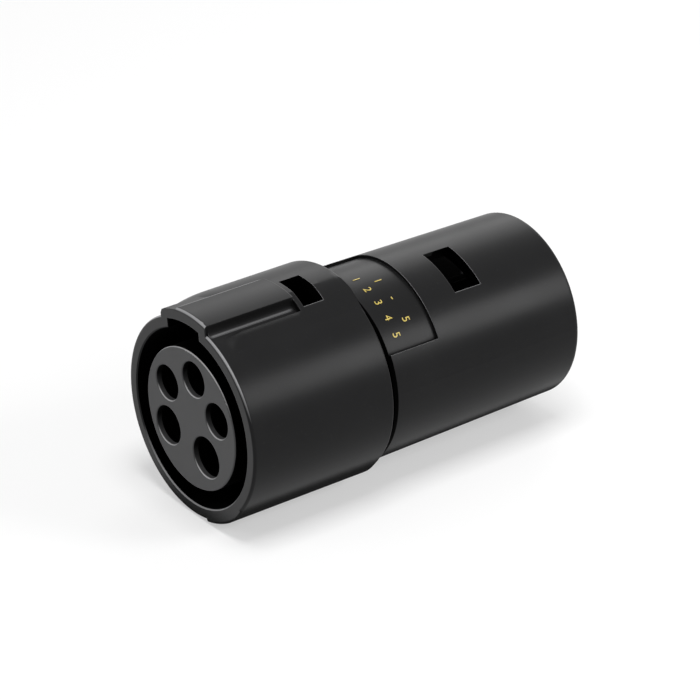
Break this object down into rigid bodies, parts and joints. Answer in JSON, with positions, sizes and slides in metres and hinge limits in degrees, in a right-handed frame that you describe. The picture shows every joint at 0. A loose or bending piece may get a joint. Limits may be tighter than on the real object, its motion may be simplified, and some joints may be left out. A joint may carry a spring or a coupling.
{
  "type": "round power connector adapter",
  "caption": "Round industrial power adapter plug with a keyed front socket, a holed core, latch windows and a rear inlet.",
  "frame": {"origin": "centre of the rear rim's plane, on the barrels' axis", "axes": "+Z along the axis towards the holed front face, +Y towards the key housing"},
  "size_m": [0.051, 0.0537, 0.1005],
  "materials": {
    "shell_plastic": "fine satin grain",
    "core_plastic": "smooth satin",
    "seal_rubber": "matte",
    "contact_plate": "silver plated",
    "screw_steel": "zinc plated",
    "spring_steel": "spring steel",
    "tan_lacquer": "lacquered",
    "lead_wire": "tinned"
  },
  "bodies": {
    "root": {"front_shell": "shell_plastic", "front_core": "core_plastic", "floor_seal": "seal_rubber", "joint_seal": "seal_rubber", "rear_shell": "shell_plastic", "rear_insulator": "core_plastic", "inlet_seal": "seal_rubber", "retainer_plate": "core_plastic", "clamp_screws": "screw_steel", "sleeve_line": "contact_plate", "sleeve_neutral": "contact_plate", "sleeve_earth": "contact_plate", "sleeve_signal_a": "contact_plate", "sleeve_signal_b": "contact_plate", "pin_line": "contact_plate", "pin_neutral": "contact_plate", "pin_earth": "contact_plate", "pin_signal_a": "contact_plate", "pin_signal_b": "contact_plate", "power_bands": "spring_steel", "earth_band": "spring_steel", "signal_bands": "spring_steel", "resistor_body": "tan_lacquer", "resistor_leads": "lead_wire"}
  },
  "joints": []
}
